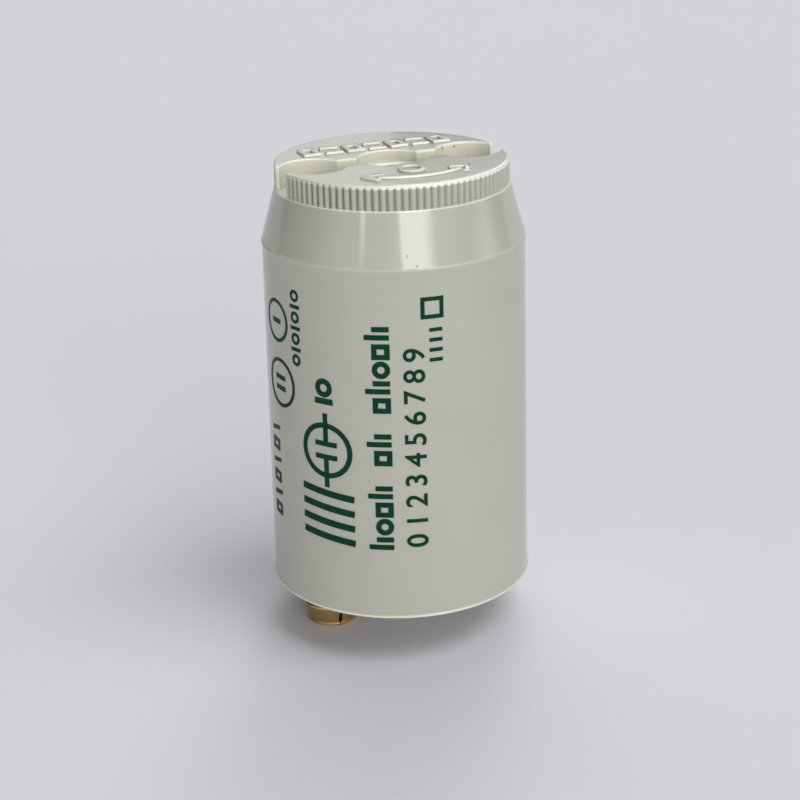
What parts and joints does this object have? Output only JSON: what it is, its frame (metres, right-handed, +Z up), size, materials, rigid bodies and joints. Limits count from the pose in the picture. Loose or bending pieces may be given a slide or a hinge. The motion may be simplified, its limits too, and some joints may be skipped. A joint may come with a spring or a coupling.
{
  "type": "fluorescent starter",
  "caption": "Glow starter for a fluorescent lamp: tapered plastic canister with a knurled, slotted cap and two brass contact pins.",
  "frame": {"origin": "on the floor under the object, midway between the two contact pins", "axes": "+Z up along the canister's axis, from the pins to the knurled cap; +X through the right contact pin; the printed side faces -Y"},
  "size_m": [0.0216, 0.0216, 0.0391],
  "materials": {
    "housing": "semi-gloss moulded plastic, grey-cream",
    "base": "matt moulded plastic, pale grey",
    "pins": "rolled sheet, slightly dull",
    "bulb_glass": "clear",
    "bimetal": "rolled strip",
    "wires": "tinned wire",
    "capacitor": "dipped resin"
  },
  "bodies": {
    "root": {"canister": "housing", "base_disc": "base", "contact_pin_left": "pins", "contact_pin_right": "pins", "glow_bulb_envelope": "bulb_glass", "glow_bulb_stem": "bulb_glass", "bimetal_strip": "bimetal", "fixed_electrode": "wires", "lead_in_wire_a": "wires", "lead_in_wire_b": "wires", "capacitor_body": "capacitor", "capacitor_lead_a": "wires", "capacitor_lead_b": "wires"}
  },
  "joints": []
}
